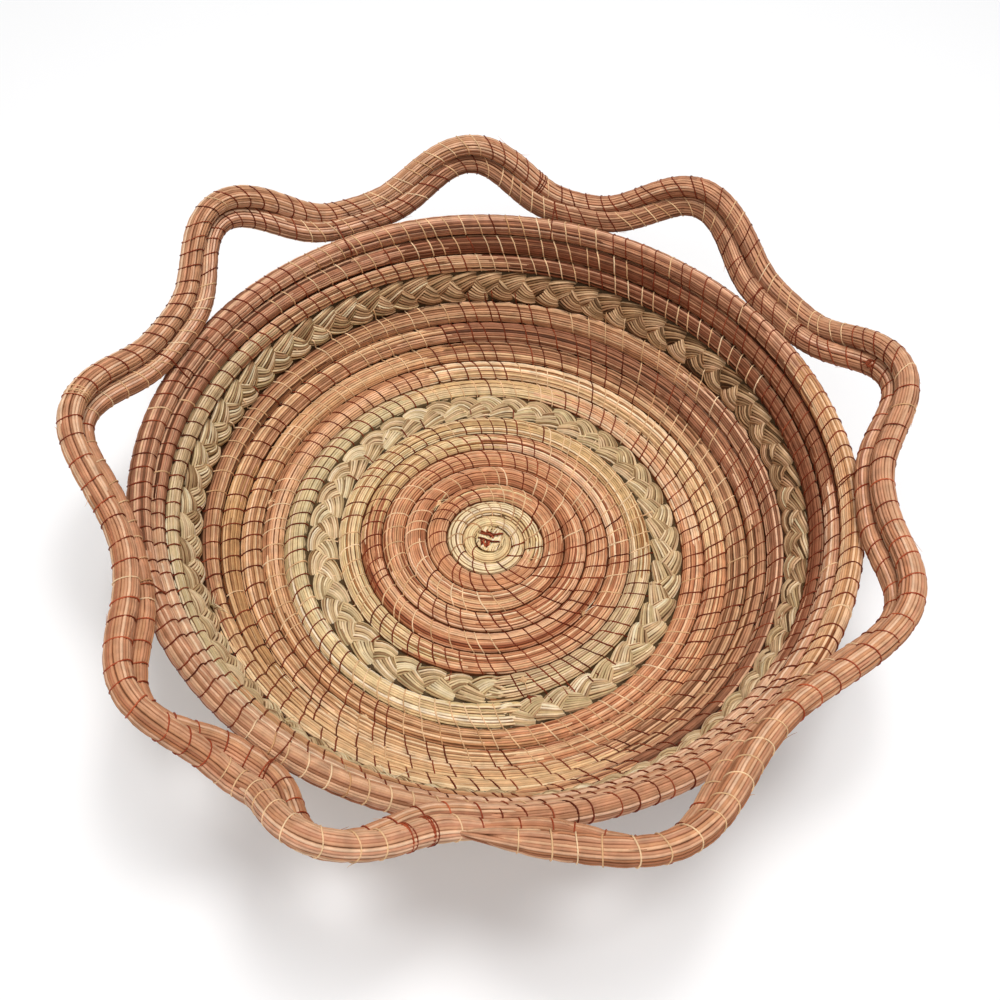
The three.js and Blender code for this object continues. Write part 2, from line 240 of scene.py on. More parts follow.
def makePiece(name, heap, finish, nodes=()):
    points = np.concatenate(heap["points"]) * mm
    points[:, 2] = np.maximum(points[:, 2], 0)  # the foot is pressed flat
    quads = np.concatenate(heap["quads"])
    mesh = bpy.data.meshes.new(name)
    mesh.vertices.add(len(points))
    mesh.vertices.foreach_set("co", points.ravel().astype(np.float32))
    mesh.loops.add(quads.size)
    mesh.loops.foreach_set("vertex_index", quads.ravel().astype(np.int32))
    mesh.polygons.add(len(quads))
    mesh.polygons.foreach_set("loop_start", np.arange(0, quads.size, 4, dtype=np.int32))
    mesh.polygons.foreach_set("use_smooth", np.ones(len(quads), bool))
    mesh.update(calc_edges=True)
    shades = np.concatenate(heap["colours"])
    shades = np.concatenate([np.clip(shades, 0, 1), np.ones((len(shades), 1))], 1)
    stain = mesh.color_attributes.new("needleColour", "FLOAT_COLOR", "POINT")
    stain.data.foreach_set("color", shades.ravel().astype(np.float32))
    uvs = np.concatenate(heap["uvs"])
    uvs[:, 1] /= heap["tubes"]
    mesh.uv_layers.new(name="OFBake").data.foreach_set("uv", uvs.ravel().astype(np.float32))
    mesh.materials.append(finish)
    piece = bpy.data.objects.new(name, mesh)
    bpy.context.scene.collection.objects.link(piece)
    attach(piece, "root")
    if nodes:
        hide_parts(*nodes)
    print("made", name, "with", len(quads) * 2, "triangles")


finishLay = dict(
    noiseSpan=(0.3, 0.7), mottleScale=260, mottleDetail=3, mottle=(0.8, 1.14), roughScale=700, roughDetail=2,
    bumpDetail=3, bumpDepth=0.0002, shine=0.1,
    dryNeedles=dict(rough=(0.46, 0.66), bumpScale=2600, bumpStrength=0.35),
    waxedThread=dict(rough=(0.34, 0.5), bumpScale=3200, bumpStrength=0.3),
)


def addNode(tree, kind, **settings):
    node = tree.nodes.new(kind)
    for key, value in settings.items():
        setattr(node, key, value)
    return node


def setSockets(node, values):
    for socket, value in values.items():
        node.inputs[socket].default_value = value


def noiseNode(tree, place, scale, detail):
    noise = addNode(tree, "ShaderNodeTexNoise")
    setSockets(noise, {"Scale": scale, "Detail": detail})
    tree.links.new(place, noise.inputs["Vector"])
    return noise.outputs["Fac"]


def rangeNode(tree, value, span):
    mapped = addNode(tree, "ShaderNodeMapRange")
    low, high = finishLay["noiseSpan"]
    setSockets(mapped, {"From Min": low, "From Max": high, "To Min": span[0], "To Max": span[1]})
    tree.links.new(value, mapped.inputs["Value"])
    return mapped.outputs["Result"]


def newFinish(name):
    lay, own = finishLay, finishLay[name]
    finish = bpy.data.materials.new(name)
    finish.use_nodes = True
    tree = finish.node_tree
    shader = tree.nodes["Principled BSDF"]
    place = addNode(tree, "ShaderNodeTexCoord").outputs["Object"]
    mottle = noiseNode(tree, place, lay["mottleScale"], lay["mottleDetail"])
    grain = noiseNode(tree, place, lay["roughScale"], lay["roughDetail"])
    stain = addNode(tree, "ShaderNodeAttribute", attribute_name="needleColour")
    patch = addNode(tree, "ShaderNodeMix", data_type="RGBA", blend_type="MULTIPLY")
    setSockets(patch, {"Factor": 1})
    tree.links.new(stain.outputs["Color"], patch.inputs[6])  # the two colours that are multiplied
    tree.links.new(rangeNode(tree, mottle, lay["mottle"]), patch.inputs[7])
    tree.links.new(patch.outputs[2], shader.inputs["Base Color"])
    tree.links.new(rangeNode(tree, grain, own["rough"]), shader.inputs["Roughness"])
    bump = addNode(tree, "ShaderNodeBump")
    setSockets(bump, {"Strength": own["bumpStrength"], "Distance": lay["bumpDepth"]})
    tree.links.new(noiseNode(tree, place, own["bumpScale"], lay["bumpDetail"]), bump.inputs["Height"])
    tree.links.new(bump.outputs["Normal"], shader.inputs["Normal"])
    setSockets(shader, {"Specular IOR Level": lay["shine"]})
    return finish


dryNeedles = newFinish("dryNeedles")
waxedThread = newFinish("waxedThread")
print("finishes ready")

stitchLay = dict(
    spacingTurns=[0, 1, 2, 3, 5, 8, 9, 10, 11, 13, 14, 15],
    spacing=[6.2, 5.6, 4.8, 5.8, 5.8, 5.6, 6, 6.6, 6.8, 7, 6.2, 5.8], spacingVary=(0.92, 1.08), linkReach=0.42,
    nearSlant=0.62, farSlant=0.38, slantFrom=12.0, slantEase=60.0, slantVary=(0.75, 1.25), curl=1.6,
    pinch=0.09, pinchReach=1.2, threadRadius=0.27, radiusVary=(0.88, 1.12), grow=0.45, sideGrow=0.4,
    startEnd=1.8, startMix=0.3, points=20, sides=5, square=0.8, toneSpread=0.4,
    dark=[(84, 30, 14), (122, 52, 30), (158, 80, 50)], pale=[(200, 150, 104), (232, 192, 146), (250, 220, 180)],
)
paleRuns = [  # turns sewn with the pale thread; the rest is red-brown
    (0.25, 0.74), (1.22, 1.78), (2.5, 2.65), (2.99, 3.42), (3.5, 3.72), (4.18, 4.39), (4.64, 4.71), (5.0, 5.18),
    (5.61, 5.78), (5.81, 5.86), (6.18, 6.28), (6.55, 6.78), (8.0, 8.14), (8.46, 8.58), (8.82, 9.08), (9.18, 9.33),
    (9.53, 9.67), (9.89, 10.0), (10.33, 10.47), (10.64, 10.74), (11.42, 11.47), (12.28, 12.5), (12.57, 12.67),
    (14.5, 14.69), (15.38, 15.6), (16.0, 16.12), (16.4, 16.58),
]


def layStitches(turnFrom, turnTo, chance):  # inner and outer end of every stitch, linked to the row inside
    lay = stitchLay
    lows, tops = [], []
    turn = turnFrom
    while True:
        spot = np.array([turn])
        distance = (lineAt(spot - 1) + lineAt(spot)) / 2
        radius = float(wallAt(distance)[0][0])
        step = np.interp(turn, lay["spacingTurns"], lay["spacing"]) / (tau * radius)
        want = turn + step * chance.uniform(*lay["spacingVary"])
        if tops:
            linked = np.array(tops) + 1
            nearest = linked[np.argmin(np.abs(linked - want))]
            if abs(nearest - want) < lay["linkReach"] * step:
                want = nearest
        if want > turnTo:
            return np.array(lows), np.array(tops)
        width = float((lineAt(spot) - lineAt(spot - 1))[0])
        ease = math.exp(-max(float(distance[0]) - lay["slantFrom"], 0) / lay["slantEase"])
        slant = lerp(lay["farSlant"], lay["nearSlant"], ease) * chance.uniform(*lay["slantVary"])
        lows.append(want)
        tops.append(want - slant * width / (tau * radius))
        turn = want


def coilSection(spin, wide, thick, square):  # a round coil, slightly squared by its neighbours
    across, over = np.cos(spin), np.sin(spin)
    return np.sign(across) * np.abs(across) ** square * wide, np.sign(over) * np.abs(over) ** square * thick


def evenSpin(square, aspect):  # angles that lie at even steps round such a section
    spin = np.linspace(0, tau, needleLay["sectionSteps"] + 1)
    side, lift = coilSection(spin, aspect, 1.0, square)
    run = np.concatenate([[0], np.cumsum(np.hypot(np.diff(side), np.diff(lift)))])
    return run / run[-1], spin


def pinchAt(along, across, lowAlong, topAlong):  # how far a stitch pulls the needles in here
    if len(lowAlong) < 2:
        return np.zeros_like(along)
    lay = stitchLay
    slant = np.interp(along, lowAlong, topAlong - lowAlong)
    level = along - slant * ((1 + across) / 2) ** lay["curl"]
    after = np.clip(np.searchsorted(lowAlong, level), 1, len(lowAlong) - 1)
    near = np.minimum(np.abs(level - lowAlong[after]), np.abs(level - lowAlong[after - 1]))
    return lay["pinch"] * np.exp(-((near / lay["pinchReach"]) ** 2))


def layNeedles(path, bundle, stitches, chance, toneOf, heapOf, openAt=0):
    lay = needleLay
    along, total = path["along"], path["along"][-1]
    count = bundle["count"]
    even = evenSpin(bundle["square"], bundle["aspect"])
    for place in range(count):
        buried = abs(math.cos(np.interp((place + 0.5) / count, *even))) > coilRows["hiddenFrom"]
        earliest = along[openAt] - lay["backRun"] if buried else -math.inf
        start = max(-chance.uniform(0, bundle["longest"]), earliest)
        while start < total:
            length = chance.uniform(bundle["shortest"], bundle["longest"])
            for splice in path.get("splices", ()):  # needles end about where a new bunch is fed in
                ragged = bundle["ragged"]
                if start + ragged < splice < start + length - ragged:
                    length = splice - start + chance.uniform(-ragged, ragged)
                    break
            begun = max(start, chance.uniform(0, lay["endRag"]))
            ended = min(start + length, total - chance.uniform(0, lay["endRag"]))
            start += length - bundle["overlap"]
            first, last = np.searchsorted(along, [begun, ended])
            if last - first < lay["fewestSteps"]:
                continue
            here = along[first:last]
            phase = chance.uniform(0, tau, 3)
            drift = lay["longSway"] * np.sin(here / chance.uniform(*lay["longLength"]) + phase[0])
            drift = drift + lay["shortSway"] * np.sin(here / lay["shortLength"] + phase[1])
            jitter = chance.uniform(-lay["jitter"], lay["jitter"])
            spin = np.interp((place + 0.5 + jitter + drift) / count % 1, *even)
            girth = chance.uniform(*bundle["girth"])
            whole = smooth(np.minimum(here - begun, ended - here) / lay["endLength"])  # nought at both ends
            sink = chance.uniform(*lay["sink"])
            sink = sink + lay["dip"] * np.sin(here / chance.uniform(*lay["dipLength"]) + phase[2])
            sink = sink + lay["endSink"] * (1 - whole)
            wide, thick = path["wide"][first:last], path["thick"][first:last]
            side, lift = coilSection(spin, wide - girth - sink, thick - girth - sink, bundle["square"])
            pulled = pinchAt(here, np.cos(spin), *stitches)
            side, lift = side * (1 - lay["sidePull"] * pulled), lift * (1 - pulled)
            across, over = path["across"][first:last], path["over"][first:last]
            points = path["centre"][first:last] + across * side[:, None] + over * lift[:, None]
            outer = unit(across * (np.cos(spin) / wide)[:, None] + over * (np.sin(spin) / thick)[:, None])
            around = unit(over * (np.cos(spin) / wide)[:, None] - across * (np.sin(spin) / thick)[:, None])
            slim = girth * lerp(lay["tipScale"], 1.0, whole)
            middle = (first + last) // 2
            heap = heapOf(middle)
            tone = toneOf(middle)
            # each needle's own colour, with painted shade along its sides
            shades = shadedNeedleSides(needleColour(tone, chance, bundle["spread"]), tone)
            addTube(heap, points, outer, around, slim, slim * lay["oval"], lay["sides"], shades, turned=lay["turned"])


def addCore(heap, path, inset, colour, trim=0.0, sides=14):  # the inside of a coil, its colour darkened as painted shade where it shows between needles
    kept = (path["along"] >= trim) & (path["along"] <= path["along"][-1] - trim)
    centre, across, over, wide, thick = (path[key][kept] for key in ("centre", "across", "over", "wide", "thick"))
    addTube(heap, centre, across, over, wide - inset, thick - inset, sides, colour)


def threadColour(pale, chance):  # one stitch's own colour
    return mixTones(stitchLay["pale" if pale else "dark"], chance.normal(0, stitchLay["toneSpread"]))


def loopLevels():  # angles round one loop of thread, and how far along its slant each of them lies
    spin = np.arange(stitchLay["points"]) * tau / stitchLay["points"]
    return spin, ((1 + np.cos(spin)) / 2) ** stitchLay["curl"]


def addThread(heap, points, radius, colour):  # one closed loop of thread
    ahead = unit(np.roll(points, -1, 0) - np.roll(points, 1, 0))
    sideA = squared(points - points.mean(0), ahead)
    radius = np.full(len(points), radius)
    addTube(heap, points, sideA, np.cross(ahead, sideA), radius, radius, stitchLay["sides"], colour, True)


def addRowStitch(heap, low, top, pale, chance):  # one loop of thread round a row
    lay = stitchLay
    spin, level = loopLevels()
    centre, across, over, wide, thick = rowAt(lerp(low, top, level))
    grow = lay["threadRadius"] * lay["grow"]
    side, lift = coilSection(spin, wide + grow * lay["sideGrow"], thick + grow, lay["square"])
    side, lift = side * (1 - needleLay["sidePull"] * lay["pinch"]), lift * (1 - lay["pinch"])
    points = centre + across * side[:, None] + over * lift[:, None]
    radius = lay["threadRadius"] * chance.uniform(*lay["radiusVary"])
    shade = threadColour(pale, chance)
    if pale and low < lay["startEnd"]:  # the first rows are sewn with a thread between the two
        shade = lerp(shade, threadColour(False, chance), lay["startMix"])
    addThread(heap, points[::-1], radius, shade)


# the coiled rows, from the middle out: what each stretch is called and which solid it stands for
coilRows = dict(
    seed=41, startStep=1.1, floorStep=1.8, wallStep=2.0, coreStep=2.6, coreInset=0.6, coreLap=0.15, paintedCoreShade=0.42,
    hiddenFrom=0.965, openFrom=16.0, pastEnd=10.0, pastScale=0.35,
    firstStitch=0.05, oddStitch=0.04, lastTurn=0.97, overBraid=0.85,
    startBundle=dict(
        count=18, girth=(0.48, 0.56), shortest=60, longest=110, overlap=9, ragged=7, square=0.72, aspect=1.0,
        spread=0.36,
    ),
    floorBundle=dict(
        count=30, girth=(0.44, 0.52), shortest=100, longest=180, overlap=13, ragged=18, square=0.74, aspect=1.05,
        spread=0.56,
    ),
    wallBundle=dict(
        count=28, girth=(0.47, 0.56), shortest=110, longest=200, overlap=13, ragged=20, square=0.84, aspect=1.1,
        spread=0.48,
    ),
    runs=[  # turns that are sewn in one go, and the needles that they hold
        (-0.97, 7.0, [(-0.97, 2.0, "startBundle", "startStep"), (1.72, 7.036, "floorBundle", "floorStep")]),
        (8.0, 13.0, [(7.968, 13.024, "wallBundle", "wallStep")]),
        (14.0, 17.018, [(13.976, 17.031, "wallBundle", "wallStep")]),
    ],
    stretches=[
        ("startRows", "start_coil", -0.97, 1.82, "cream_needles"),
        ("innerFloorRows", "base_coil", 1.82, 4.6, "russet_needles"),
        ("outerFloorRows", "base_coil", 4.6, 6.6, "russet_needles"),
        ("strawRow", "straw_coil", 6.6, 7.0, "straw_needles"),
        ("paleShoulderRow", "pale_shoulder_coil", 8.0, 8.5, "green_needles"),
        ("shoulderRow", "shoulder_coil", 8.5, 9.0, "pink_needles"),
        ("pinkWallRow", "pink_wall_coil", 9.0, 10.0, "pink_needles"),
        ("tanWallRow", "tan_wall_coil", 10.0, 11.0, "tan_needles"),
        ("strawWallRow", "straw_wall_coil", 11.0, 12.0, "straw_needles"),
        ("russetWallRow", "russet_wall_coil", 12.0, 13.0, "russet_needles"),
        ("paleLipRow", "pale_lip_coil", 14.0, 15.0, "tan_needles"),
        ("russetLipRow", "russet_lip_coil", 15.0, 16.0, "russet_needles"),
        ("rimRow", "rim_coil", 16.0, 17.018, "brown_needles"),
    ],
)
braidStitch = dict(
    points=9, sides=6, lead=0.0016, past=0.2, reach=(-0.25, 0.05), low=0.6, high=2.6, arch=0.62,
    dive=2.2, diveFrom=0.8, diveRate=5, radiusVary=(0.85, 1.05),
)
rowHeaps = {stretch[0]: newHeap() for stretch in coilRows["stretches"]}
stitchHeaps = {}


def stretchOf(turn):
    for name, node, low, high, slot in coilRows["stretches"]:
        if turn < high:
            return name
    return coilRows["stretches"][-1][0]


def regionOf(turn):
    return "floor" if turn < coilLay["innerBraidEnd"] else "wall" if turn < coilLay["outerBraidStart"] else "rim"


def stitchHeap(region, pale):
    name = region + ("PaleStitches" if pale else "DarkStitches")
    return stitchHeaps.setdefault(name, newHeap())


def isPale(turn):
    return any(low <= turn <= high for low, high in paleRuns)


def addBraidStitch(heap, turn, pale, chance):  # a stitch end that runs on over the near half of a braid
    lay = braidStitch
    share = np.linspace(0, 1, lay["points"])
    centre, across, over, wide = rowAt(turn - lay["lead"] * share ** 2)[:4]
    side = lerp(-1.0, chance.uniform(*lay["reach"]), share) * (wide + lay["past"])
    lift = lerp(lay["low"], lay["high"], np.sin(share * lay["arch"] * math.pi))
    lift = lift - lay["dive"] * smooth((share - lay["diveFrom"]) * lay["diveRate"])
    points = centre + across * side[:, None] + over * lift[:, None]
    run = runOf(points)
    sideA = squared(over, run)
    radius = np.full(len(points), stitchLay["threadRadius"] * chance.uniform(*lay["radiusVary"]))
    addTube(heap, points, sideA, np.cross(run, sideA), radius, radius, lay["sides"], threadColour(pale, chance))


def windRows():
    lay = coilRows
    chance = np.random.default_rng(lay["seed"])
    for runFrom, runTo, bundles in lay["runs"]:
        lows, tops = layStitches(max(runFrom, lay["firstStitch"]), runTo, chance)
        for low, top in zip(lows, tops):
            pale = isPale(low) != (chance.uniform() < lay["oddStitch"])
            heap = stitchHeap(regionOf(low), pale)
            addRowStitch(heap, low, top, pale, chance)
            belowBraid = runTo - lay["lastTurn"] < low and runTo < coilLay["outerBraidEnd"]
            if belowBraid and chance.uniform() < lay["overBraid"]:
                addBraidStitch(heap, top + 1, pale, chance)
        for turnFrom, turnTo, bundle, step in bundles:
            path = rowPath(turnFrom, turnTo, lay[step])
            turns, along = path["turn"], path["along"]
            past = np.maximum(turns - runTo, runFrom - turns) * tau * np.linalg.norm(path["centre"][:, :2], axis=1)
            thinned = lerp(1.0, lay["pastScale"], smooth(past / lay["pastEnd"]))  # needles run in under the braid
            path["thick"] = path["thick"] * thinned
            path["splices"] = np.interp([run[0] for run in toneRuns if turnFrom < run[0] < turnTo], turns, along)
            marks = [np.interp(ends, turns, along) for ends in (lows, tops)]
            layNeedles(
                path, lay[bundle], marks, chance, lambda spot: toneAt(turns[spot]),
                lambda spot: rowHeaps[stretchOf(turns[spot])],
                int(np.searchsorted(turns[:-1], lay["openFrom"])),
            )
    for name, node, turnFrom, turnTo, slot in lay["stretches"]:
        core = rowPath(turnFrom, turnTo, lay["coreStep"])
        if turnTo < lay["openFrom"]:
            core["wide"] = core["wide"] + lay["coreInset"] + lay["coreLap"]
        # painted shade: the core takes the darkest tone of its stretch, darkened further
        shade = linear(needleTones[toneAt((turnFrom + turnTo) / 2)][0]) * lay["paintedCoreShade"]
        addCore(rowHeaps[name], core, lay["coreInset"], shade)
        makePiece(name, rowHeaps[name], dryNeedles, [node])


windRows()
print("rows wound")

braidLay = dict(
    step=1.6, middleWide=0.74, edgeWide=0.5, fanShape=1.5, halfThick=1.7, lift=1.7, settle=14.0, gather=0.6,
    ownTone=0.5, coreInset=0.5, paintedCoreShade=0.4, coreSides=10,
    bundle=dict(
        count=18, girth=(0.46, 0.55), shortest=70, longest=120, overlap=10, square=0.86, aspect=2.1, spread=0.55,
    ),
    # painted shade: a dark band laid under the middle of the braid
    shadeBand=dict(lap=1.0, thick=1.3, step=2.6, shade=0.3, short=0.01),
    # within the shade span the braid takes darker tones, as painted shade
    inner=dict(
        turnFrom=6.975, turnTo=8.035, wave=31.1, turnOver=-1, tones=("olive", "green", "green"),
        paintedShadeSpan=(7.4, 7.9), paintedShadeTones=("olive", "green", "olive"), seed=7,
    ),
    outer=dict(
        turnFrom=12.985, turnTo=14.02, wave=31.2, turnOver=1, tones=("olive", "green", "olive"),
        paintedShadeSpan=(13.42, 13.82), paintedShadeTones=("shadedMoss", "shadedMoss", "shadedBark"), seed=8,
    ),
)


def plaitBraid(name, node, braid):
    lay, shadeBandLay = braidLay, braidLay["shadeBand"]
    chance = np.random.default_rng(braid["seed"])
    path = rowPath(braid["turnFrom"], braid["turnTo"], lay["step"])
    along, total = path["along"], path["along"][-1]
    spread = smooth(np.minimum(along, total - along) / lay["settle"])  # the strands gather at both ends
    width = path["wide"]
    reach = width * (1 - lay["edgeWide"]) * lerp(lay["gather"], 1.0, spread)
    for strand in range(3):
        heap = newHeap()
        phase = tau * (along / braid["wave"] + strand / 3)
        lift = lay["lift"] * spread * np.sin(2 * phase) * braid["turnOver"]
        middle = path["centre"] + path["across"] * (reach * np.sin(phase))[:, None] + path["over"] * lift[:, None]
        ahead = runOf(middle)
        flat = squared(path["over"], ahead)
        fan = width * lerp(lay["middleWide"], lay["edgeWide"], np.abs(np.sin(phase)) ** lay["fanShape"])
        thick = np.full(len(along), lay["halfThick"])
        plait = dict(along=along, centre=middle, across=np.cross(flat, ahead), over=flat, wide=fan, thick=thick)

        def toneOf(spot):
            # darker tones within the span are painted shade
            low, high = braid["paintedShadeSpan"]
            tones = braid["paintedShadeTones" if low < path["turn"][spot] < high else "tones"]
            return tones[strand if chance.uniform() < lay["ownTone"] else chance.integers(3)]

        layNeedles(plait, lay["bundle"], ((), ()), chance, toneOf, lambda spot: heap)
        dark = linear(needleTones[braid["tones"][strand]][0])
        # painted shade: the strand's core takes its darkest tone, darkened further
        addCore(heap, plait, lay["coreInset"], dark * lay["paintedCoreShade"], sides=lay["coreSides"])
        if strand == 0:  # painted shade: a dark band in the middle, seen between the strands
            short = shadeBandLay["short"]
            shadeBand = rowPath(braid["turnFrom"] + short, braid["turnTo"] - short, shadeBandLay["step"])
            shadeBand["wide"] = shadeBand["wide"] + shadeBandLay["lap"]
            shadeBand["thick"] = np.full(len(shadeBand["along"]), shadeBandLay["thick"])
            addCore(heap, shadeBand, 0, dark * shadeBandLay["shade"])
        makePiece(name + "Strand" + "ABC"[strand], heap, dryNeedles, [node])


plaitBraid("innerBraid", "inner_braid", braidLay["inner"])
plaitBraid("outerBraid", "outer_braid", braidLay["outer"])
print("braids plaited")

# the looped border: two strands that leave the rim, rise to nine crowns and come back
borderLay = dict(
    crowns=[254.5, 228.5, 182.5, 141.0, 99.0, 60.0, 16.5, -22.0, -67.5],
    reach=[29.0, 25.0, 23.5, 30.0, 25.5, 26.5, 26.0, 19.5, 25.0],
    valleyFlare=[52.0, 20.0, 78.0, 66.0, 16.0, 10.0, 15.0, 72.0, 76.0],
    strand=7.8, strandPitch=8.0, standoff=8.4, loopFlare=38.0, crownShape=4, stackTilt=42.0, straightShare=0.25,
    rimEnd=17.018, tailScale=0.3, tailLength=32.0, runOn=6.0, tailRun=6.5, tuckDepth=2.4, swell=0.3,
    step=2.2, denseSteps=3650, lookAside=0.5, easeReach=4.0,
    coreStep=2.6, coreTrim=16.0, coreInset=0.6, paintedCoreShade=0.5, coreTone="hazel", firstTone=0.7,
    bundle=dict(
        count=24, girth=(0.49, 0.58), shortest=110, longest=200, overlap=13, square=1.0, aspect=1.0, spread=0.36,
    ),
    nearWrap=8.0, farWrap=5.8, nearTurn=2.2, farTurn=5.0, wrapFrom=18.0, wrapEnd=28.0, wrapVary=(0.85, 1.15),
    turnVary=(0.6, 1.4), wrapPull=0.7, wrapGrow=0.4, oddWrap=0.06, threadScale=0.88, threadVary=(0.9, 1.15),
    nearLift=1.7, farLift=1.05, boundPitch=1.1, boundTurn=(0.3, 1.6),
    farSpan=(14, 174), innerPale=[(84, 97), (120, 130), (150, 215), (56, 70), (300, 330)],
    outerPale=[(97, 118), (24, 48), (236, 261), (276, 312)],
    innerTones=[  # from this bearing on, the usual tone and the other one; on the far side the brown and umber are darker as painted shade
        (4, "umber", "brown"), (132, "brown", "umber"), (176, "hazel", "brown"), (205, "rust", "hazel"),
        (250, "hazel", "fawn"), (270, "hazel", "rust"), (330, "hazel", "brown"),
    ],
    outerTones=[
        (14, "brown", "umber"), (82, "brown", "hazel"), (174, "fawn", "hazel"), (205, "rust", "hazel"),
        (250, "hazel", "fawn"), (270, "hazel", "fawn"), (288, "rust", "hazel"), (336, "hazel", "brown"),
    ],
    bound=[  # close turns of thread: on the outer strand or not, bearing, pale or not, how many
        (True, 181.5, True, 4), (True, 89.0, False, 3), (True, 264.1, False, 2), (True, 261.9, False, 2),
        (False, 33.0, False, 2),
    ],
)
firstValley = (borderLay["crowns"][0] + borderLay["crowns"][-1] + 360) / 2  # the bearing where the border starts
lastValley = firstValley - 360


def borderAt(degrees):
    lay = borderLay
    crowns = np.array(lay["crowns"])
    valleys = np.concatenate([[firstValley], (crowns[:-1] + crowns[1:]) / 2, [lastValley]])
    flares = np.array(lay["valleyFlare"] + lay["valleyFlare"][:1])
    loop = np.clip(np.searchsorted(-valleys, -degrees, side="right") - 1, 0, len(crowns) - 1)
    crown = crowns[loop]
    falling = (degrees < crown).astype(int)
    valley, valleyFlare = valleys[loop + falling], flares[loop + falling]
    nearness = np.clip((degrees - valley) / (crown - valley), 0, 1)
    rise = np.sin(nearness * math.pi / 2) ** lay["crownShape"]
    leaving = (loop == 0) & (falling == 0)
    free = smooth((nearness - lay["straightShare"]) / (1 - 2 * lay["straightShare"]))
    blend = np.where(leaving, free, 1.0)
    turn = lay["rimEnd"] + (firstValley - degrees) / 360
    radius, height = wallAt((lineAt(turn - 2) + lineAt(turn - 1)) / 2)[:2]
    sheet = np.radians(lerp(valleyFlare, lay["loopFlare"], smooth(nearness)))
    flare = lerp(coilLay["wallAngle"], sheet, blend)
    reach = lerp(coilLay["rimPitch"], lay["standoff"], blend) + (np.array(lay["reach"])[loop] - lay["standoff"]) * rise
    outward = outwardAt(degrees)
    point = outward * (radius + reach * np.cos(flare))[:, None] + upward * (height + reach * np.sin(flare))[:, None]
    return point, sheet, rise, outward


def borderFrame(degrees):
    point, sheet, rise, outward = borderAt(degrees)
    ahead = unit(borderAt(degrees - borderLay["lookAside"])[0] - borderAt(degrees + borderLay["lookAside"])[0])
    above = upward * np.cos(sheet)[:, None] - outward * np.sin(sheet)[:, None]
    aside = -unit(np.cross(ahead, above))
    above = np.cross(ahead, aside)
    tilt = np.radians(borderLay["stackTilt"]) * rise
    across = aside * np.cos(tilt)[:, None] + above * np.sin(tilt)[:, None]
    return point, across


def eased(points, step):  # bends of a strand drawn out as stiff needles would have them
    reach = borderLay["easeReach"]
    half = round(3 * reach / step)
    weights = np.exp(-((np.arange(-half, half + 1) * step / reach) ** 2) / 2)
    padded = np.concatenate([np.repeat(points[:1], half, 0), points, np.repeat(points[-1:], half, 0)])
    return np.stack([np.convolve(padded[:, axis], weights / weights.sum(), "valid") for axis in range(3)], -1)


def strandPath(outer, step):
    lay = borderLay
    begin, finish = firstValley + lay["tailRun" if outer else "runOn"], lastValley - lay["tailRun"]
    dense = np.linspace(begin, finish, lay["denseSteps"] + 1)

    def middleAt(degrees):
        point, across = borderFrame(degrees)
        if not outer:
            return point
        middle = point + across * lay["strandPitch"]
        begun, aside = borderFrame(degrees + 360)
        begun = begun + aside * lay["strandPitch"]  # the end is tucked against the strand's own beginning
        tuck = smooth((lastValley + lay["tailRun"] - degrees) / (2 * lay["tailRun"]))
        return lerp(middle, begun + unit(middle - begun) * lay["tuckDepth"], tuck[:, None])

    along = runLengths(middleAt(dense))
    even = np.linspace(0, along[-1], int(along[-1] / step) + 1)
    degrees = np.interp(even, along, dense)
    centre, across = eased(middleAt(degrees), step), borderFrame(degrees)[1]
    ahead = runOf(centre)
    for spot in range(1, len(across)):  # the sides are carried along without a twist
        across[spot] = unit(across[spot - 1] - ahead[spot] * (across[spot - 1] @ ahead[spot]))
    across = squared(across, ahead)
    size = np.full(len(even), lay["strand"] / 2 + lay["swell"])
    size = size * lerp(lay["tailScale"], 1.0, smooth((along[-1] - even) / lay["tailLength"]))
    if outer:
        size = size * lerp(lay["tailScale"], 1.0, smooth(even / lay["tailLength"]))
    over = np.cross(ahead, across)
    return dict(degrees=degrees, along=even, centre=centre, across=across, over=over, wide=size, thick=size)


